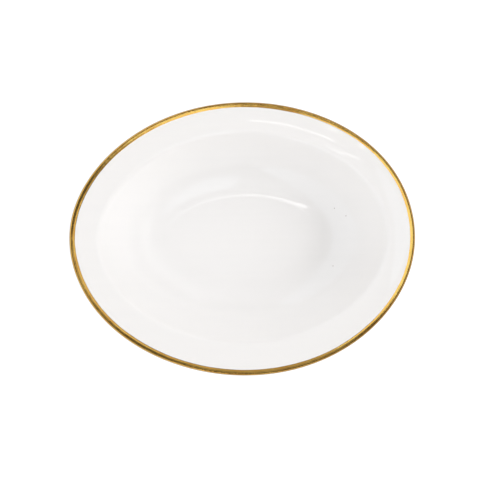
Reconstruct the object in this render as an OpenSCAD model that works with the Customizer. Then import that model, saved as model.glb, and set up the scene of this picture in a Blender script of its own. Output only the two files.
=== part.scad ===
// Oval serving platter in glazed china: a deep well, a sloping flange and a gilded rim.
// The outline is an oval of four tangent arcs that meet on the diagonals, and one
// cross-section is swept round it, so flange, wall and foot ring keep their width all round.
// Origin: on the plane that the foot ring stands on, at the middle of the oval. +Z is up.

/* [Outline] */
// Length of the platter over the gold rim
platter_length = 248; // [230:1:300]
// Width of the platter over the gold rim
platter_width = 196; // [185:1:215]

/* [Cross-section] */
// Thickness of the ware, with the glaze on both faces
ware_thick = 3.2; // [2.6:0.1:4.5]
// Width of the flange, from the rim edge in to the shoulder
flange_width = 19; // [14:0.5:24]
// Slope of the flange at the rim, in degrees
flange_outer_slope = 18; // [12:0.5:22]
// Slope of the flange at the shoulder, in degrees
flange_inner_slope = 11; // [5:0.5:12]
// Radius of the shoulder where the flange turns down into the well
shoulder_radius = 6.5; // [5:0.5:10]
// Slope of the wall of the well, in degrees
wall_slope = 50; // [42:1:58]
// Radius of the cove where the wall runs out into the floor
cove_radius = 38.5; // [30:0.5:42]
// Distance from the rim edge in to the flat floor
floor_inset = 68; // [64:0.5:71]

/* [Foot ring] */
// Height of the recessed underside above the surface that the platter stands on
foot_height = 3; // [2:0.25:5]
// Distance from the rim edge in to the outer side of the foot ring
foot_inset = 56; // [52:0.5:59]
// Width of the foot ring, with its glaze
foot_width = 4.2; // [3.6:0.1:6]
// Rounding of the two edges of the standing face
foot_edge_radius = 0.9; // [0.5:0.1:1.2]
// Radius of the fillets where the foot ring joins the underside
foot_fillet_radius = 2; // [1:0.25:2.5]

/* [Glaze and gilding] */
// Thickness of each coat of glaze
glaze_thick = 0.25; // [0.2:0.05:0.4]
// Thickness of the gold on the rim
gold_thick = 0.2; // [0.15:0.05:0.3]
// Width of the gold on the upper face, from the rim edge
gold_face_width = 3.8; // [3.5:0.1:8]
// Width of the gold on the underside, from the rim edge
gold_back_width = 2.6; // [2.5:0.1:6]

/* [Hidden] */
$fn = 180;

china_colour = [0.93, 0.91, 0.87];
glaze_colour = [0.96, 0.95, 0.93];
gold_colour = [0.78, 0.61, 0.25];

// Greatest distance between a curve of the cross-section and its straight steps
step_error = 0.012;

// ---- Outline: the arcs of the oval ----

// The end arcs have their centres on X and the side arcs on Y, all at this distance from the
// origin, so that the arcs meet at 45 degrees. It is kept to whole thousandths.
arc_centre = round(1000 * (platter_length - platter_width) / (4 - 2 * sqrt(2))) / 1000;
end_radius = platter_length / 2 - arc_centre;
// How much larger the radius of the side arcs is, in tenths and the small rest
radius_gain = arc_centre * sqrt(2);
radius_gain_tenths = floor(10 * radius_gain) / 10;
side_radius = end_radius + radius_gain;

// ---- Cross-section: X is 0 at the rim edge and falls towards the middle, Y is the height ----

floor_top = foot_height + ware_thick;
cove_middle = [-floor_inset, floor_top + cove_radius];
wall_foot = cove_middle - cove_radius * face_normal(wall_slope);
wall_head_x = -flange_width - shoulder_radius * (sin(wall_slope) - sin(flange_inner_slope));
wall_head = wall_foot + (wall_head_x - wall_foot.x) * [1, tan(wall_slope)];
shoulder_middle = wall_head - shoulder_radius * face_normal(wall_slope);
flange_foot = shoulder_middle + shoulder_radius * face_normal(flange_inner_slope);

edge_radius = ware_thick / 2;
flange_head_x = -gold_thick - edge_radius * (1 + sin(flange_outer_slope));
flange_radius = (flange_head_x - flange_foot.x) / (sin(flange_outer_slope) - sin(flange_inner_slope));
flange_middle = flange_foot + flange_radius * face_normal(flange_inner_slope);
edge_middle = flange_middle - (flange_radius + edge_radius) * face_normal(flange_outer_slope);

// Slopes of the flange at the two edges of the gold
gold_face_slope = flange_slope_at(gold_face_width, flange_radius);
gold_back_slope = flange_slope_at(gold_back_width, flange_radius + ware_thick);

// Depth of the underside of the china below the upper face
body_underside = ware_thick - glaze_thick;
// The glaze stops above the rounded edges of the foot ring, which stays bare
glaze_line = foot_edge_radius + 0.4;
// The swept section runs this far in, over the edge of the flat plate that fills the middle
sweep_inset = floor_inset + 2;
plate_inset = floor_inset + 1;

// Unit vector at an angle from +X
function direction(angle) = [cos(angle), sin(angle)];

// Unit vector square to the upper face where that slopes down inwards by the angle
function face_normal(slope) = direction(90 + slope);

// Slope of an arc of the flange where it passes a distance from the rim edge
function flange_slope_at(inset, radius) = asin((-inset - flange_middle.x) / radius);

// Points along an arc, without the point that it starts from
function arc(middle, radius, from, to) =
    let (steps = ceil(abs(to - from) / (2 * acos(1 - step_error / radius))))
    [for (i = [1:steps]) middle + radius * direction(from + (to - from) * i / steps)];

function without_first(points) = [for (i = [1:len(points) - 1]) points[i]];

function reversed(points) = [for (i = [len(points) - 1:-1:0]) points[i]];

// Flange, from the rim to the shoulder, at a depth below the upper face.
// It has a point on the given slope, where the edge of the gold lies.
function flange_curve(depth, gold_slope) = concat(
    [flange_middle - (flange_radius + depth) * face_normal(flange_outer_slope)],
    arc(flange_middle, flange_radius + depth, flange_outer_slope - 90, gold_slope - 90),
    arc(flange_middle, flange_radius + depth, gold_slope - 90, flange_inner_slope - 90)
);

// Flange, shoulder and wall, down to the top of the cove
function upper_curve(depth, gold_slope) = concat(
    flange_curve(depth, gold_slope),
    arc(shoulder_middle, shoulder_radius - depth, 90 + flange_inner_slope, 90 + wall_slope),
    [wall_foot - depth * face_normal(wall_slope)]
);

// Cove from one angle round its middle to another, without the point that it starts from
function cove_curve(depth, from, to) = arc(cove_middle, cove_radius + depth, from, to);

// The whole upper face of a layer, from the rim to the flat floor
function face_curve(depth) = concat(
    upper_curve(depth, gold_face_slope),
    cove_curve(depth, wall_slope - 90, -90),
    [[-sweep_inset, floor_top - depth]]
);

// Sides of the foot ring; coat is the thickness of the glaze on it, 0 for the bare china
function foot_outer_x(coat) = -foot_inset - glaze_thick + coat;
function foot_inner_x(coat) = -foot_inset - foot_width + glaze_thick - coat;

// Middle of the fillet between the underside of the cove and a side of the foot ring.
// outward is 1 on the outer side and -1 on the inner side.
function fillet_middle(side_x, outward, coat) =
    let (
        radius = foot_fillet_radius - coat,
        reach = cove_radius + body_underside + coat + radius,
        x = side_x + outward * radius
    )
    [x, cove_middle.y - sqrt(pow(reach, 2) - pow(x - cove_middle.x, 2))];

// Angle round the middle of the cove at which a fillet meets it
function fillet_touch(middle) = atan2(middle.y - cove_middle.y, middle.x - cove_middle.x);

// Underside from the rim to the outer side of the foot ring, down to a height
function outer_underside(coat, height) =
    let (
        depth = body_underside + coat,
        middle = fillet_middle(foot_outer_x(coat), 1, coat),
        touch = fillet_touch(middle)
    )
    concat(
        upper_curve(depth, gold_back_slope),
        cove_curve(depth, wall_slope - 90, touch),
        arc(middle, foot_fillet_radius - coat, touch + 180, 180),
        [[foot_outer_x(coat), height]]
    );

// Underside from a height on the inner side of the foot ring in to the flat floor
function inner_underside(coat, height) =
    let (
        depth = body_underside + coat,
        middle = fillet_middle(foot_inner_x(coat), -1, coat),
        touch = fillet_touch(middle)
    )
    concat(
        [[foot_inner_x(coat), height], [foot_inner_x(coat), middle.y]],
        arc(middle, foot_fillet_radius - coat, 0, touch + 180),
        cove_curve(depth, touch, -90),
        [[-sweep_inset, floor_top - depth]]
    );

// Standing edge of the foot ring, between its two sides
foot_tip = concat(
    arc([foot_outer_x(0) - foot_edge_radius, foot_edge_radius], foot_edge_radius, 0, -90),
    [[foot_inner_x(0) + foot_edge_radius, 0]],
    arc([foot_inner_x(0) + foot_edge_radius, foot_edge_radius], foot_edge_radius, -90, -180)
);

// Round the rim edge, from the upper face to the middle of the edge and on to the underside
function upper_edge(radius) = arc(edge_middle, radius, flange_outer_slope + 90, flange_outer_slope);
function lower_edge(radius) = arc(edge_middle, radius, flange_outer_slope, flange_outer_slope - 90);
function edge_point(radius) = edge_middle + radius * direction(flange_outer_slope);

// Gold from its inner edge on the upper face to its inner edge on the underside, grown outwards
function gold_curve(growth) =
    let (face_radius = flange_radius - growth, back_radius = flange_radius + ware_thick + growth)
    concat(
        [flange_middle - face_radius * face_normal(gold_face_slope)],
        arc(flange_middle, face_radius, gold_face_slope - 90, flange_outer_slope - 90),
        upper_edge(edge_radius + growth),
        lower_edge(edge_radius + growth),
        arc(flange_middle, back_radius, flange_outer_slope - 90, gold_back_slope - 90)
    );

// ---- Sweeping a cross-section round the oval ----

module round_the_oval() {
    for (turn = [0, 180]) rotate(turn) {
        translate([arc_centre, 0, 0])
            rotate_extrude(start = -45, angle = 90)
                translate([end_radius, 0]) children();
        translate([0, -arc_centre, 0])
            rotate_extrude(start = 45, angle = 90)
                translate([end_radius, 0])
                    translate([radius_gain_tenths, 0])
                        translate([radius_gain - radius_gain_tenths, 0]) children();
    }
}

// Quarter of a disc, square to the diagonals
module quarter_disc(radius) {
    intersection() {
        circle(r = radius);
        polygon([[0, 0], [radius, -radius], [2 * radius, 0], [radius, radius]]);
    }
}

// Flat plate with the oval's outline, drawn in by an inset
module oval_plate(inset, bottom, top) {
    translate([0, 0, bottom]) linear_extrude(top - bottom)
        for (turn = [0, 180]) rotate(turn) {
            translate([arc_centre, 0]) quarter_disc(end_radius - inset);
            translate([0, -arc_centre]) rotate(90) quarter_disc(side_radius - inset);
        }
}

// ---- Pieces ----

// Fired china, pressed in one: floor, wall, flange and foot ring
module china_body() {
    color(china_colour) {
        round_the_oval() polygon(concat(
            reversed(face_curve(glaze_thick)),
            upper_edge(edge_radius - glaze_thick),
            lower_edge(edge_radius - glaze_thick),
            without_first(outer_underside(0, foot_edge_radius)),
            foot_tip,
            without_first(inner_underside(0, foot_edge_radius))
        ));
        oval_plate(plate_inset, floor_top - body_underside, floor_top - glaze_thick);
    }
}

// Coat of glaze over the floor, wall and flange, as far as the middle of the rim edge
module face_glaze() {
    color(glaze_colour) {
        round_the_oval() polygon(concat(
            reversed(face_curve(0)),
            upper_edge(edge_radius),
            reversed(upper_edge(edge_radius - glaze_thick)),
            face_curve(glaze_thick)
        ));
        oval_plate(plate_inset, floor_top - glaze_thick, floor_top);
    }
}

// Coat of glaze on the back, from the middle of the rim edge down the outer side of the foot ring
module back_glaze() {
    color(glaze_colour)
        round_the_oval() polygon(concat(
            [edge_point(edge_radius)],
            lower_edge(edge_radius),
            without_first(outer_underside(glaze_thick, glaze_line)),
            reversed(outer_underside(0, glaze_line)),
            without_first(reversed(lower_edge(edge_radius - glaze_thick))),
            [edge_point(edge_radius - glaze_thick)]
        ));
}

// Coat of glaze inside the foot ring: the inner side of the foot and the recessed underside
module foot_recess_glaze() {
    color(glaze_colour) {
        round_the_oval() polygon(concat(
            inner_underside(glaze_thick, glaze_line),
            reversed(inner_underside(0, glaze_line))
        ));
        oval_plate(plate_inset, foot_height, foot_height + glaze_thick);
    }
}

// Fired gold over the rim edge, on top of the glaze
module gold_rim_band() {
    color(gold_colour)
        round_the_oval() polygon(concat(gold_curve(gold_thick), reversed(gold_curve(0))));
}

china_body();
face_glaze();
back_glaze();
foot_recess_glaze();
gold_rim_band();
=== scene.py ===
"""Oval serving dish in glazed china with a gilded rim, on a lit white table.

Every piece is one closed mesh: a cross-section swept round the oval, bent a little out of true
the way fired ware is. Lengths in the cross-section are in millimetres and the meshes in metres.
"""

import math

import bpy
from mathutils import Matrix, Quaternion, Vector


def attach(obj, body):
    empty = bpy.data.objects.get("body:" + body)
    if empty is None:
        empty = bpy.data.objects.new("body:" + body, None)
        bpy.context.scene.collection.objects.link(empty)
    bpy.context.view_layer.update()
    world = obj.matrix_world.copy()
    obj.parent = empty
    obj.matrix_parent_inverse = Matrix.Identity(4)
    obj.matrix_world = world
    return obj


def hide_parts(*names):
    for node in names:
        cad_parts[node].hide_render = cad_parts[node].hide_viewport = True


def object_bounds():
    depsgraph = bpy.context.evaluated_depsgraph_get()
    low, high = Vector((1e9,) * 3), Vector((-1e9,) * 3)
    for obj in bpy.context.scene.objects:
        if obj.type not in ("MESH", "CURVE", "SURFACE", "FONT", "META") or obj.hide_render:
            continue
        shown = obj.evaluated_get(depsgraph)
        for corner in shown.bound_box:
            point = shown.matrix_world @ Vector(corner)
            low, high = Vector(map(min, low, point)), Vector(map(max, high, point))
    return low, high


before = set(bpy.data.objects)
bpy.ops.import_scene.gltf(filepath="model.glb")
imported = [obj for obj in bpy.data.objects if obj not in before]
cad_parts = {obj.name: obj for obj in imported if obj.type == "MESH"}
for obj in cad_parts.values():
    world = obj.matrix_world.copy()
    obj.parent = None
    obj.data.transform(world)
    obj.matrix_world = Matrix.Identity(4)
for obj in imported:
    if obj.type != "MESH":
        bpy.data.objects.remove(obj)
CAD_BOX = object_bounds()

MM = 0.001
TABLE = 0.0

# ---- The dish, in millimetres, as in the CAD ----

LENGTH = (CAD_BOX[1].x - CAD_BOX[0].x) / MM
WIDTH = (CAD_BOX[1].y - CAD_BOX[0].y) / MM
WARE = 3.2
FLANGE_WIDTH = 19.0
FLANGE_OUTER_SLOPE = 18.0
FLANGE_INNER_SLOPE = 11.0
SHOULDER_RADIUS = 6.5
WALL_SLOPE = 50.0
COVE_RADIUS = 38.5
FLOOR_INSET = 68.0

FOOT_HEIGHT = 3.0
FOOT_INSET = 56.0
FOOT_WIDTH = 4.2
FOOT_EDGE_RADIUS = 0.9
FOOT_FILLET_RADIUS = 2.0

GLAZE = 0.25
GLAZE_LINE = FOOT_EDGE_RADIUS + 0.4
GOLD = 0.2
GOLD_FACE_WIDTH = 3.8
GOLD_BACK_WIDTH = 2.6

# ---- How far the fired dish is out of true, in millimetres ----

# Waves of the rim's outline, by how many go round it: parts along and across
RIM_WAVES = {3: (-0.54, 0.20), 4: (-0.21, 0.06), 6: (0.0, -0.14)}
# The well sits a little to one side of the middle of the rim
WELL_SHIFT = (0.8, 0.65)
# How much narrower the flange is at the two ends, and wider along the two sides
FLANGE_SPREAD = 1.2
# How much fuller the deep ovals are at their corners than a true offset of the rim
DEEP_FULLNESS = 1.2
# How far the rim dips at its two low places
RIM_DIP = 0.3
# One of the two turns, in radians, at which it doesn't dip: the low places lie midway between
HIGH_TURN = 0.9
# How much nearer the edge the top of the rim lies than on a full round
RIM_TUCK = 0.7
# Insets over which each of these grows in or fades out
WAVES_FADE = (12, 60)
WELL_GROWS = (5, FLANGE_WIDTH)
FULLNESS_GROWS = (20, FLOOR_INSET)
DIP_FADE = (0, 50)
TUCK_GROWS = (0, 2)
TUCK_FADE = (2.5, 8)

# ---- The painted gold ----

# Wander of its inner edge, in millimetres
GOLD_WANDER = 0.16
# Waves that the wander is made of: size, how many go round the rim, and where they start
GOLD_WAVES = ((1.0, 5, 0.7), (1.0, 9, 2.1), (0.6, 16, 4.0), (0.5, 37, 1.3), (0.3, 71, 0.0))
# How much narrower it is painted towards the right end and the back, in millimetres
GOLD_LEAN = (0.28, 0.25)
# Share of the rim's tuck at its inner edge, which is added to its width to make up for it
TUCK_AT_GOLD = 0.8
# Share of its thickness at the painted edges, and of its width over which it thickens
GOLD_THIN_EDGE = 0.12
GOLD_THICKENS = 0.6

# Tiny dark specks fired into the glaze: places along and across, in metres
SPECKS = ((0.0680, 0.0210), (0.0762, 0.0152), (0.0660, -0.0212))
SPECK_RADIUS = 0.0004

# ---- How finely the meshes are divided ----

TURNS = 384
FLOOR_RINGS = 10
FLANGE_STEPS = 16
SHOULDER_STEPS = 14
WALL_STEPS = 10
COVE_STEPS = 30
OUTER_COVE_STEPS = 24
INNER_COVE_STEPS = 8
FOOT_BEND_STEPS = 8
FOOT_SIDE_STEPS = 3
FOOT_FLAT_STEPS = 4
RIM_STEPS = 24
GOLD_SIDE_STEPS = 12
GOLD_ROUND_STEPS = 28
GOLD_INNER_STEPS = 4
GOLD_INNER_ROUND_STEPS = 14
# Edges bent by more degrees than this are shaded sharp
SHARP_EDGE = 40

# ---- Light: places in metres ----

# Middle of the well, which the round panels face
WELL = Vector((0.0, 0.0, 0.03))
TABLE_GLOW = 0.48
STRIP_HEIGHT = 1.2
LAMP_DISTANCE = 1.7
DAYLIGHT = (0.88, 0.98, 1.08)
WARM_GREY = (1.0, 0.94, 0.88)


# ---- Cross-section: x is 0 at the rim edge and falls towards the middle, y is the height ----

def direction(angle):
    """Unit vector at an angle in degrees from +x."""
    return Vector((math.cos(math.radians(angle)), math.sin(math.radians(angle))))


def face_normal(slope):
    """Unit vector square to the upper face where that slopes down inwards by the angle."""
    return direction(90 + slope)


def sine(angle):
    return math.sin(math.radians(angle))


FLOOR_TOP = FOOT_HEIGHT + WARE
BODY_UNDERSIDE = WARE - GLAZE
COVE_MIDDLE = Vector((-FLOOR_INSET, FLOOR_TOP + COVE_RADIUS))
WALL_FOOT = COVE_MIDDLE - COVE_RADIUS * face_normal(WALL_SLOPE)
WALL_HEAD_X = -FLANGE_WIDTH - SHOULDER_RADIUS * (sine(WALL_SLOPE) - sine(FLANGE_INNER_SLOPE))
WALL_RUN = WALL_HEAD_X - WALL_FOOT.x
WALL_HEAD = WALL_FOOT + Vector((WALL_RUN, WALL_RUN * math.tan(math.radians(WALL_SLOPE))))
SHOULDER_MIDDLE = WALL_HEAD - SHOULDER_RADIUS * face_normal(WALL_SLOPE)
FLANGE_FOOT = SHOULDER_MIDDLE + SHOULDER_RADIUS * face_normal(FLANGE_INNER_SLOPE)
EDGE_RADIUS = WARE / 2
FLANGE_HEAD_X = -GOLD - EDGE_RADIUS * (1 + sine(FLANGE_OUTER_SLOPE))
FLANGE_RADIUS = (FLANGE_HEAD_X - FLANGE_FOOT.x) / (sine(FLANGE_OUTER_SLOPE) - sine(FLANGE_INNER_SLOPE))
FLANGE_MIDDLE = FLANGE_FOOT + FLANGE_RADIUS * face_normal(FLANGE_INNER_SLOPE)
EDGE_MIDDLE = FLANGE_MIDDLE - (FLANGE_RADIUS + EDGE_RADIUS) * face_normal(FLANGE_OUTER_SLOPE)


def arc(middle, radius, start, end, steps):
    """Points along an arc, both ends included."""
    angles = [start + (end - start) * i / steps for i in range(steps + 1)]
    return [middle + radius * direction(angle) for angle in angles]


def line(start, end, steps):
    """Points along a straight line, without its two ends."""
    return [start.lerp(end, i / steps) for i in range(1, steps)]


def upper_curve(depth):
    """Flange, shoulder and wall at a depth below the upper face, down to the top of the cove."""
    flange = arc(
        FLANGE_MIDDLE, FLANGE_RADIUS + depth,
        FLANGE_OUTER_SLOPE - 90, FLANGE_INNER_SLOPE - 90, FLANGE_STEPS,
    )
    shoulder = arc(
        SHOULDER_MIDDLE, SHOULDER_RADIUS - depth,
        90 + FLANGE_INNER_SLOPE, 90 + WALL_SLOPE, SHOULDER_STEPS,
    )
    wall_foot = WALL_FOOT - depth * face_normal(WALL_SLOPE)
    return flange + shoulder[1:] + line(shoulder[-1], wall_foot, WALL_STEPS)


def cove_curve(depth, start, end, steps):
    """Cove from one angle round its middle to another."""
    return arc(COVE_MIDDLE, COVE_RADIUS + depth, start, end, steps)


def floor_line(height):
    """Rings of the flat floor, from the foot of the cove in to the middle of the dish.

    Past the foot of the cove x counts the share of the way to the middle, not millimetres.
    """
    return [Vector((-FLOOR_INSET - i / FLOOR_RINGS, height)) for i in range(1, FLOOR_RINGS + 1)]


def face_curve(depth):
    """The whole upper face of a layer, from the rim in to the middle."""
    cove = cove_curve(depth, WALL_SLOPE - 90, -90, COVE_STEPS)
    return upper_curve(depth) + cove + floor_line(FLOOR_TOP - depth)


def foot_outer_x(coat):
    """Outer side of the foot ring under a coat of glaze."""
    return -FOOT_INSET - GLAZE + coat


def foot_inner_x(coat):
    """Inner side of the foot ring under a coat of glaze."""
    return -FOOT_INSET - FOOT_WIDTH + GLAZE - coat


def fillet(side_x, outward, coat):
    """Middle of the fillet between the underside of the cove and a side of the foot ring."""
    radius = FOOT_FILLET_RADIUS - coat
    reach = COVE_RADIUS + BODY_UNDERSIDE + coat + radius
    x = side_x + outward * radius
    return Vector((x, COVE_MIDDLE.y - math.sqrt(reach**2 - (x - COVE_MIDDLE.x) ** 2)))


def fillet_touch(middle):
    """Angle round the middle of the cove at which a fillet meets it."""
    return math.degrees(math.atan2(middle.y - COVE_MIDDLE.y, middle.x - COVE_MIDDLE.x))


def outer_underside(coat, height):
    """Underside from the rim to the outer side of the foot ring, down to a height."""
    depth = BODY_UNDERSIDE + coat
    middle = fillet(foot_outer_x(coat), 1, coat)
    touch = fillet_touch(middle)
    bend = arc(middle, FOOT_FILLET_RADIUS - coat, touch + 180, 180, FOOT_BEND_STEPS)
    foot = Vector((foot_outer_x(coat), height))
    cove = cove_curve(depth, WALL_SLOPE - 90, touch, OUTER_COVE_STEPS)
    side = line(bend[-1], foot, FOOT_SIDE_STEPS)
    return upper_curve(depth) + cove + bend[1:] + side + [foot]


def inner_underside(coat, height):
    """Underside from a height on the inner side of the foot ring in to the middle."""
    depth = BODY_UNDERSIDE + coat
    middle = fillet(foot_inner_x(coat), -1, coat)
    touch = fillet_touch(middle)
    foot = Vector((foot_inner_x(coat), height))
    bend = arc(middle, FOOT_FILLET_RADIUS - coat, 0, touch + 180, FOOT_BEND_STEPS)
    side = line(foot, bend[0], FOOT_SIDE_STEPS)
    cove = cove_curve(depth, touch, -90, INNER_COVE_STEPS)
    return [foot] + side + bend + cove[1:] + floor_line(FLOOR_TOP - depth)


def foot_tip():
    """Standing edge of the foot ring, between its two sides."""
    outer = Vector((foot_outer_x(0) - FOOT_EDGE_RADIUS, FOOT_EDGE_RADIUS))
    inner = Vector((foot_inner_x(0) + FOOT_EDGE_RADIUS, FOOT_EDGE_RADIUS))
    outer_bend = arc(outer, FOOT_EDGE_RADIUS, 0, -90, FOOT_BEND_STEPS)
    inner_bend = arc(inner, FOOT_EDGE_RADIUS, -90, -180, FOOT_BEND_STEPS)
    return outer_bend[1:] + line(outer_bend[-1], inner_bend[0], FOOT_FLAT_STEPS) + inner_bend[:-1]


def rim_edge(radius, start, end, steps=RIM_STEPS // 2):
    """Round the rim edge between two angles from square to the flange's outer slope."""
    return arc(EDGE_MIDDLE, radius, FLANGE_OUTER_SLOPE + start, FLANGE_OUTER_SLOPE + end, steps)


def china_section(turn):
    round_edge = rim_edge(EDGE_RADIUS - GLAZE, 90, -90, RIM_STEPS)
    face = list(reversed(face_curve(GLAZE)))
    outer = outer_underside(0, FOOT_EDGE_RADIUS)
    return face + round_edge[1:-1] + outer + foot_tip() + inner_underside(0, FOOT_EDGE_RADIUS)


def face_glaze_section(turn):
    outside = list(reversed(face_curve(0))) + rim_edge(EDGE_RADIUS, 90, 0)[1:]
    inside = rim_edge(EDGE_RADIUS - GLAZE, 0, 90)[:-1] + face_curve(GLAZE)
    return outside + inside


def back_glaze_section(turn):
    outside = rim_edge(EDGE_RADIUS, 0, -90)[:-1] + outer_underside(GLAZE, GLAZE_LINE)
    inside = list(reversed(outer_underside(0, GLAZE_LINE)))
    return outside + inside[:-1] + rim_edge(EDGE_RADIUS - GLAZE, -90, 0)


def foot_recess_section(turn):
    inside = list(reversed(inner_underside(0, GLAZE_LINE)))
    return inside + inner_underside(GLAZE, GLAZE_LINE)


def flange_slope_at(inset, radius):
    return math.degrees(math.asin((-inset - FLANGE_MIDDLE.x) / radius))


def gold_side(width, radius, growth_sign):
    """Gold on one face of the flange, from its painted edge out to the rim edge."""
    points = []
    start = flange_slope_at(width, radius)
    for i in range(GOLD_SIDE_STEPS + 1):
        slope = start + (FLANGE_OUTER_SLOPE - start) * i / GOLD_SIDE_STEPS
        thickening = (1 - GOLD_THIN_EDGE) * smooth_step(i / GOLD_SIDE_STEPS, 0, GOLD_THICKENS)
        growth = GOLD * (GOLD_THIN_EDGE + thickening)
        points.append(FLANGE_MIDDLE + (radius + growth_sign * growth) * direction(slope - 90))
    return points


def gold_section(turn):
    """Gold from its painted edge on the face to the one on the back, thinning towards both."""
    wander = GOLD_WANDER * gold_wander(turn)
    lean = GOLD_LEAN[0] * math.cos(turn) + GOLD_LEAN[1] * math.sin(turn)
    face_width = GOLD_FACE_WIDTH + TUCK_AT_GOLD * RIM_TUCK + wander - lean
    back_width = GOLD_BACK_WIDTH - wander
    face = gold_side(face_width, FLANGE_RADIUS, -1)
    back = list(reversed(gold_side(back_width, FLANGE_RADIUS + WARE, 1)))
    outside = face + rim_edge(EDGE_RADIUS + GOLD, 90, -90, GOLD_ROUND_STEPS)[1:-1] + back
    inner_back = arc(
        FLANGE_MIDDLE, FLANGE_RADIUS + WARE,
        flange_slope_at(back_width, FLANGE_RADIUS + WARE) - 90, FLANGE_OUTER_SLOPE - 90,
        GOLD_INNER_STEPS,
    )
    inner_face = arc(
        FLANGE_MIDDLE, FLANGE_RADIUS,
        FLANGE_OUTER_SLOPE - 90, flange_slope_at(face_width, FLANGE_RADIUS) - 90,
        GOLD_INNER_STEPS,
    )
    inner_round = rim_edge(EDGE_RADIUS, -90, 90, GOLD_INNER_ROUND_STEPS)
    return outside + inner_back + inner_round[1:-1] + inner_face


def gold_wander(turn):
    """Uneven hand of the gilder, between -1 and 1: a few slow waves and two short ones."""
    waves = sum(size * math.sin(n * turn + start) for size, n, start in GOLD_WAVES)
    return waves / sum(size for size, n, start in GOLD_WAVES)


# ---- Round the oval ----

def smooth_step(value, start, end):
    """0 up to the start, 1 from the end on, and a soft rise between them."""
    share = min(max((value - start) / (end - start), 0.0), 1.0)
    return share * share * (3 - 2 * share)


def oval_waves(inset):
    """Waves that make up the oval at a distance in from the rim edge, and how far it reaches."""
    share = 1 - smooth_step(inset, *WAVES_FADE)
    fullness = DEEP_FULLNESS * smooth_step(inset, *FULLNESS_GROWS)
    waves = {n: (share * along, share * across) for n, (along, across) in RIM_WAVES.items()}
    flattening = RIM_WAVES[4][0]
    waves[0] = ((LENGTH + WIDTH) / 4 - flattening * share - inset + fullness / 2, 0.0)
    spread = FLANGE_SPREAD * smooth_step(inset, *WELL_GROWS)
    waves[2] = ((LENGTH - WIDTH) / 4 + spread, 0.0)
    waves[4] = (waves[4][0] - fullness / 2, waves[4][1])
    # Keeps the outline centred on the CAD's box
    waves[1] = (-waves[3][0], waves[3][1])
    return waves


def on_oval(turn, inset):
    """Point of the oval where its outward normal has the given direction."""
    reach = 0.0
    lead = 0.0
    for n, (along, across) in oval_waves(inset).items():
        reach += along * math.cos(n * turn) + across * math.sin(n * turn)
        lead += n * (across * math.cos(n * turn) - along * math.sin(n * turn))
    x = reach * math.cos(turn) - lead * math.sin(turn)
    y = reach * math.sin(turn) + lead * math.cos(turn)
    shift = smooth_step(inset, *WELL_GROWS)
    return Vector((x + shift * WELL_SHIFT[0], y + shift * WELL_SHIFT[1]))


def tucked(inset):
    """Inset with the top of the rim drawn out towards the edge."""
    share = smooth_step(inset, *TUCK_GROWS) * (1 - smooth_step(inset, *TUCK_FADE))
    return inset - RIM_TUCK * share


def placed(turn, point):
    """A point of the cross-section on the fired dish, in metres."""
    inset = tucked(-point.x)
    lift = -RIM_DIP * math.sin(turn - HIGH_TURN) ** 2 * (1 - smooth_step(inset, *DIP_FADE))
    if inset <= FLOOR_INSET:
        plan = on_oval(turn, inset)
    else:
        middle = Vector(WELL_SHIFT)
        plan = on_oval(turn, FLOOR_INSET).lerp(middle, inset - FLOOR_INSET)
    return (plan.x * MM, plan.y * MM, (point.y + lift) * MM)


def swept_mesh(name, section_at, loops):
    """Mesh of a cross-section swept round the oval. loops says that the section is a closed ring."""
    turns = [math.tau * i / TURNS for i in range(TURNS)]
    sections = [section_at(turn) for turn in turns]
    rows = len(sections[0])
    vertices = []
    rings = []
    for row in range(rows):
        at_middle = -sections[0][row].x >= FLOOR_INSET + 1 - 1e-6
        # At the middle of the dish the whole ring is one vertex
        ring_size = 1 if at_middle else TURNS
        rings.append([len(vertices) + i % ring_size for i in range(TURNS)])
        vertices += [placed(turns[i], sections[i][row]) for i in range(ring_size)]
    faces = []
    for row in range(rows if loops else rows - 1):
        ring, following = rings[row], rings[(row + 1) % rows]
        for i in range(TURNS):
            j = (i + 1) % TURNS
            corners = [ring[i], ring[j], following[j], following[i]]
            faces.append(list(dict.fromkeys(corners)))
    mesh = bpy.data.meshes.new(name)
    mesh.from_pydata(vertices, [], faces)
    mesh.validate()
    mesh.shade_smooth()
    mesh.set_sharp_from_angle(angle=math.radians(SHARP_EDGE))
    return mesh


# ---- Materials ----

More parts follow.
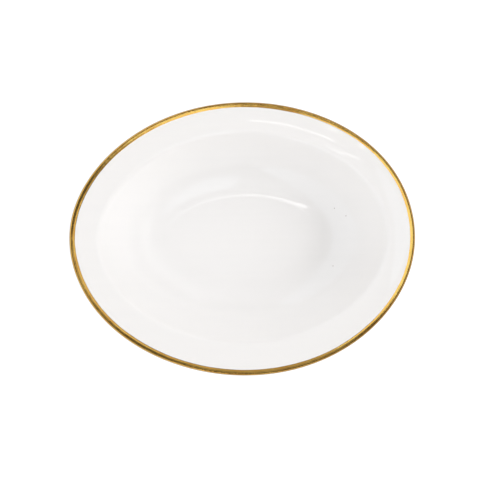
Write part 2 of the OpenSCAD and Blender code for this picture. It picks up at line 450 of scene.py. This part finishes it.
class Nodes:
    """Short ways to add and join the nodes of one material."""

    def __init__(self, name):
        self.material = bpy.data.materials.new(name)
        self.material.use_nodes = True
        self.tree = self.material.node_tree
        self.shader = self.tree.nodes["Principled BSDF"]
        self.place = self.add("ShaderNodeTexCoord").outputs["Object"]

    def add(self, kind, **settings):
        node = self.tree.nodes.new(kind)
        for key, value in settings.items():
            setattr(node, key, value)
        return node

    def join(self, output, socket):
        self.tree.links.new(output, socket)

    def noise(self, scale, detail=2.0, stretch=None):
        """Soft noise of about one wave per 1/scale metres."""
        node = self.add("ShaderNodeTexNoise")
        node.inputs["Scale"].default_value = scale
        node.inputs["Detail"].default_value = detail
        source = self.place
        if stretch:
            mapping = self.add("ShaderNodeMapping")
            mapping.inputs["Scale"].default_value = stretch
            self.join(source, mapping.inputs["Vector"])
            source = mapping.outputs["Vector"]
        self.join(source, node.inputs["Vector"])
        return node.outputs["Fac"]

    def spread(self, value, low, high, from_low=0.35, from_high=0.65):
        """A value carried from one range to another."""
        node = self.add("ShaderNodeMapRange")
        node.inputs["From Min"].default_value = from_low
        node.inputs["From Max"].default_value = from_high
        node.inputs["To Min"].default_value = low
        node.inputs["To Max"].default_value = high
        self.join(value, node.inputs["Value"])
        return node.outputs["Result"]

    def blend(self, share, first, second):
        """Mix of two colours; each is a plain colour or another node's output."""
        node = self.add("ShaderNodeMix", data_type="RGBA")
        self.join(share, node.inputs["Factor"])
        for socket, colour in ((node.inputs[6], first), (node.inputs[7], second)):
            if isinstance(colour, tuple):
                socket.default_value = (*colour, 1.0)
            else:
                self.join(colour, socket)
        return node.outputs[2]

    def bump(self, height, strength, distance, normal=None):
        node = self.add("ShaderNodeBump")
        node.inputs["Strength"].default_value = strength
        node.inputs["Distance"].default_value = distance
        self.join(height, node.inputs["Height"])
        if normal:
            self.join(normal, node.inputs["Normal"])
        return node.outputs["Normal"]

    def upward(self):
        """How far a surface faces up, from 1 for level to 0 for upright."""
        parts = self.add("ShaderNodeSeparateXYZ")
        self.join(self.add("ShaderNodeTexCoord").outputs["Normal"], parts.inputs["Vector"])
        return parts.outputs["Z"]

    def near(self, place, radius):
        """1 close to a place, as seen from above, and 0 beyond the radius."""
        flat = self.add("ShaderNodeVectorMath", operation="MULTIPLY")
        flat.inputs[1].default_value = (1.0, 1.0, 0.0)
        self.join(self.place, flat.inputs[0])
        gap = self.add("ShaderNodeVectorMath", operation="DISTANCE")
        gap.inputs[1].default_value = (*place, 0.0)
        self.join(flat.outputs["Vector"], gap.inputs[0])
        return self.spread(gap.outputs["Value"], 1.0, 0.0, 0.6 * radius, radius)


def glaze_material(name):
    """Glossy warm white glaze with a faint ripple, faint lengthwise streaks and a few tiny specks."""
    nodes = Nodes(name)
    shader = nodes.shader.inputs
    streaks = nodes.spread(nodes.noise(9, 4, (1.0, 30.0, 1.0)), 0.0, 1.0)
    white = nodes.blend(streaks, (0.906, 0.899, 0.897), (0.899, 0.893, 0.892))
    for speck in SPECKS:
        white = nodes.blend(nodes.near(speck, SPECK_RADIUS), white, (0.42, 0.38, 0.35))
    nodes.join(white, shader["Base Color"])
    nodes.join(nodes.spread(nodes.noise(60, 3), 0.015, 0.035), shader["Roughness"])
    shader["IOR"].default_value = 1.5
    ripple = nodes.bump(nodes.noise(32, 2), 0.08, 0.001)
    nodes.join(nodes.bump(nodes.noise(900, 2), 0.004, 0.0004, ripple), shader["Normal"])
    return nodes.material


def bare_china_material():
    """Unglazed fired china: matt, with a fine grain and a little dirt from use."""
    nodes = Nodes("bare_china")
    shader = nodes.shader.inputs
    grain = nodes.noise(1800, 4)
    stain = nodes.spread(nodes.noise(70, 4), 0.0, 1.0, 0.45, 0.75)
    clean = nodes.blend(nodes.spread(grain, 0.0, 1.0), (0.86, 0.83, 0.77), (0.80, 0.765, 0.70))
    nodes.join(nodes.blend(stain, clean, (0.66, 0.61, 0.53)), shader["Base Color"])
    nodes.join(nodes.spread(grain, 0.78, 0.92), shader["Roughness"])
    nodes.join(nodes.bump(grain, 0.35, 0.0002), shader["Normal"])
    return nodes.material


def gold_material():
    """Burnished gold, brushed on by hand: fine strokes, patches of colour and a wavy surface."""
    nodes = Nodes("burnished_gold")
    shader = nodes.shader.inputs
    patches = nodes.spread(nodes.noise(85, 4), 0.0, 1.0)
    strokes = nodes.noise(1500, 3)
    bright = nodes.blend(patches, (0.90, 0.57, 0.15), (0.84, 0.47, 0.11))
    # Painted reflection: the side of the rim is painted browner than its top, by how far it faces up,
    # standing in for the dark surroundings that side reflects
    gold_with_painted_dark_side = nodes.blend(nodes.spread(nodes.upward(), 0.0, 1.0, 0.45, 0.92), (0.31, 0.17, 0.04), bright)
    nodes.join(gold_with_painted_dark_side, shader["Base Color"])
    nodes.join(nodes.spread(strokes, 0.10, 0.18), shader["Roughness"])
    shader["Metallic"].default_value = 1.0
    uneven = nodes.bump(nodes.noise(160, 3), 0.22, 0.0006)
    nodes.join(nodes.bump(strokes, 0.10, 0.0002, uneven), shader["Normal"])
    return nodes.material


# ---- Pieces ----

def add_piece(name, section_at, loops, material, node):
    """Makes a piece that stands for a CAD node."""
    piece = bpy.data.objects.new(name, swept_mesh(name, section_at, loops))
    bpy.context.scene.collection.objects.link(piece)
    piece.data.materials.append(material)
    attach(piece, "root")
    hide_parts(node)
    return piece


glaze = glaze_material("china_glaze")
gold = gold_material()
bare_china = bare_china_material()

add_piece("dish_china", china_section, False, bare_china, "china_body")
add_piece("dish_face_glaze", face_glaze_section, False, glaze, "face_glaze")
add_piece("dish_back_glaze", back_glaze_section, True, glaze, "back_glaze")
add_piece("dish_foot_recess_glaze", foot_recess_section, False, glaze, "foot_recess_glaze")
add_piece("dish_gold_band", gold_section, True, gold, "gold_rim_band")


# ---- Table, light and camera ----

def add_table():
    """Large round table top that glows evenly, like a light table, and takes light as well."""
    radius = 6.0
    steps = 96
    rim = [(radius * math.cos(math.tau * i / steps), radius * math.sin(math.tau * i / steps), TABLE)
           for i in range(steps)]
    mesh = bpy.data.meshes.new("table")
    mesh.from_pydata(rim, [], [list(range(steps))])
    table = bpy.data.objects.new("table", mesh)
    bpy.context.scene.collection.objects.link(table)
    nodes = Nodes("table_white")
    shader = nodes.shader.inputs
    shade = nodes.spread(nodes.noise(6, 2), 0.0, 1.0)
    nodes.join(nodes.blend(shade, (0.62, 0.62, 0.62), (0.60, 0.60, 0.60)), shader["Base Color"])
    shader["Roughness"].default_value = 0.9
    shader["Specular IOR Level"].default_value = 0.2
    shader["Emission Color"].default_value = (1.0, 1.0, 1.0, 1.0)
    shader["Emission Strength"].default_value = TABLE_GLOW
    mesh.materials.append(nodes.material)


def add_panel(name, middle, target, size, brightness, reach, turn=0.0, tint=(1.0, 1.0, 1.0)):
    """Soft light: an evenly bright rectangle. Brightness 1 is as bright as lit white paper.

    size is its width and height in metres and turn turns it in its own plane, in degrees.
    reach "gloss" keeps a light to the reflections, and "fill" keeps it out of them.
    """
    light = bpy.data.lights.new(name, "AREA")
    light.shape = "RECTANGLE"
    light.size, light.size_y = size
    light.energy = brightness * math.pi * size[0] * size[1]
    light.color = tint
    lamp = bpy.data.objects.new(name, light)
    lamp.location = middle
    aim = Vector(target) - Vector(middle)
    own_turn = Quaternion((0.0, 0.0, 1.0), math.radians(turn))
    lamp.rotation_euler = (aim.to_track_quat("-Z", "Y") @ own_turn).to_euler()
    lamp.visible_camera = False
    lamp.visible_diffuse = reach != "gloss"
    lamp.visible_glossy = reach != "fill"
    bpy.context.scene.collection.objects.link(lamp)


def add_strip(name, start, end, width, brightness):
    """Narrow light overhead, seen only in reflections, from one place to another."""
    middle = ((start[0] + end[0]) / 2, (start[1] + end[1]) / 2)
    length = math.dist(start, end)
    turn = math.degrees(math.atan2(end[1] - start[1], end[0] - start[0]))
    place = (*middle, STRIP_HEIGHT)
    add_panel(name, place, (*middle, TABLE), (length, width), brightness, "gloss", turn)


def add_round_panel(name, azimuth, elevation, spread, rise, brightness, reach):
    """Soft light that faces the dish, placed and sized by the angles it is seen at, in degrees."""
    turn = math.radians(azimuth)
    lift = math.radians(elevation)
    way = Vector((math.cos(turn) * math.cos(lift), math.sin(turn) * math.cos(lift), math.sin(lift)))
    size = (
        2 * LAMP_DISTANCE * math.cos(lift) * math.tan(math.radians(spread / 2)),
        2 * LAMP_DISTANCE * math.tan(math.radians(rise / 2)),
    )
    add_panel(name, WELL + LAMP_DISTANCE * way, WELL, size, brightness, reach)


def add_world(table_level, walls, ceiling):
    """Room round the table: pale at the table's level, warm grey walls and a darker ceiling."""
    world = bpy.data.worlds.new("room")
    world.use_nodes = True
    tree = world.node_tree
    place = tree.nodes.new("ShaderNodeTexCoord")
    parts = tree.nodes.new("ShaderNodeSeparateXYZ")
    ramp = tree.nodes.new("ShaderNodeValToRGB")
    # Each stop is a height on the sphere round the dish, from 0 at its level to 1 overhead
    stops = ((0.10, table_level), (0.17, walls), (0.60, walls), (0.80, ceiling))
    while len(ramp.color_ramp.elements) < len(stops):
        ramp.color_ramp.elements.new(0.5)
    for element, (height, level) in zip(ramp.color_ramp.elements, stops):
        element.position = height
        element.color = (*(level * share for share in WARM_GREY), 1.0)
    tree.links.new(place.outputs["Generated"], parts.inputs["Vector"])
    tree.links.new(parts.outputs["Z"], ramp.inputs["Fac"])
    tree.links.new(ramp.outputs["Color"], tree.nodes["Background"].inputs["Color"])
    bpy.context.scene.world = world


def add_camera():
    """Camera straight above the dish, turned and placed a little off the middle."""
    lens = bpy.data.cameras.new("camera")
    lens.sensor_width = 36.0
    distance = 1.6
    rim_height = CAD_BOX[1].z
    view_width = 0.3438
    offset_left = 0.00158
    offset_down = 0.00074
    lens.lens = lens.sensor_width * distance / view_width
    lens.clip_start = 0.05
    lens.clip_end = 20.0
    camera = bpy.data.objects.new("camera", lens)
    roll = math.radians(-1.28)
    right = Vector((math.cos(roll), math.sin(roll), 0.0))
    up = Vector((-math.sin(roll), math.cos(roll), 0.0))
    above = Vector((0, 0, rim_height + distance))
    camera.location = above - offset_left * right - offset_down * up
    camera.rotation_euler = (0.0, 0.0, roll)
    bpy.context.scene.collection.objects.link(camera)
    bpy.context.scene.camera = camera


add_table()
add_world(0.7, 0.3, 0.1)
# Large panels and cards, seen only in reflections
add_panel(
    "panel_left", (-0.61, 0.0, 0.66), (0.326, 0.049, 0.309), (5.6, 1.15), 1.1,
    "gloss", tint=DAYLIGHT,
)
add_panel(
    "panel_front", (0.27, -0.99, 1.2), (0.27, -0.99, 0.0), (0.47, 1.02), 1.1,
    "gloss", tint=DAYLIGHT,
)
add_round_panel("card_right", 20, 52, 120, 24, 0.65, "gloss")
add_round_panel("card_back", 97, 52, 40, 24, 0.3, "gloss")
add_round_panel("card_front", 262, 54, 30, 18, 0.4, "gloss")
# Strips whose reflections are the bright arc in the cove and the streak on the flange
add_strip("strip_near", (0.008, -0.060), (-0.010, -0.145), 0.03, 2.0)
add_strip("strip_middle", (-0.010, -0.145), (-0.125, -0.305), 0.036, 4.2)
add_strip("strip_far", (-0.125, -0.305), (-0.26, -0.382), 0.016, 2.4)
add_strip("strip_flange", (-0.013, -0.399), (-0.17, -0.408), 0.012, 5.0)
# Small low lamps, meant as glints on the left shoulder but too faint to show from above
add_round_panel("glint_a", 352, 7.5, 13, 2, 3.0, "gloss")
add_round_panel("glint_b", 19, 9.5, 14, 2, 3.0, "gloss")
add_round_panel("glint_c", 72, 26, 5, 3, 3.0, "gloss")
# Broad light that shades the china and stays out of its reflections
add_panel("fill_top", (0.0, 0.0, 1.73), WELL, (2.9, 2.9), 0.83, "fill")
add_round_panel("fill_back", 150, 30, 60, 44, 1.3, "fill")
add_round_panel("fill_front", 270, 30, 60, 44, 1.1, "fill")
add_round_panel("fill_left", 185, 12, 100, 12, 0.35, "fill")
# The window on the right: azimuth, elevation and brightness of each part of it
for azimuth, elevation, brightness in (
    (335, 20, 2.4),
    (335, 30, 2.1),
    (5, 20, 1.9),
    (5, 30, 5.2),
    (35, 20, 4.6),
    (35, 30, 3.4),
):
    add_round_panel(f"window_{azimuth}_{elevation}", azimuth, elevation, 28, 10, brightness, "fill")
add_camera()

view = bpy.context.scene.view_settings
view.view_transform = "Standard"
view.look = "None"
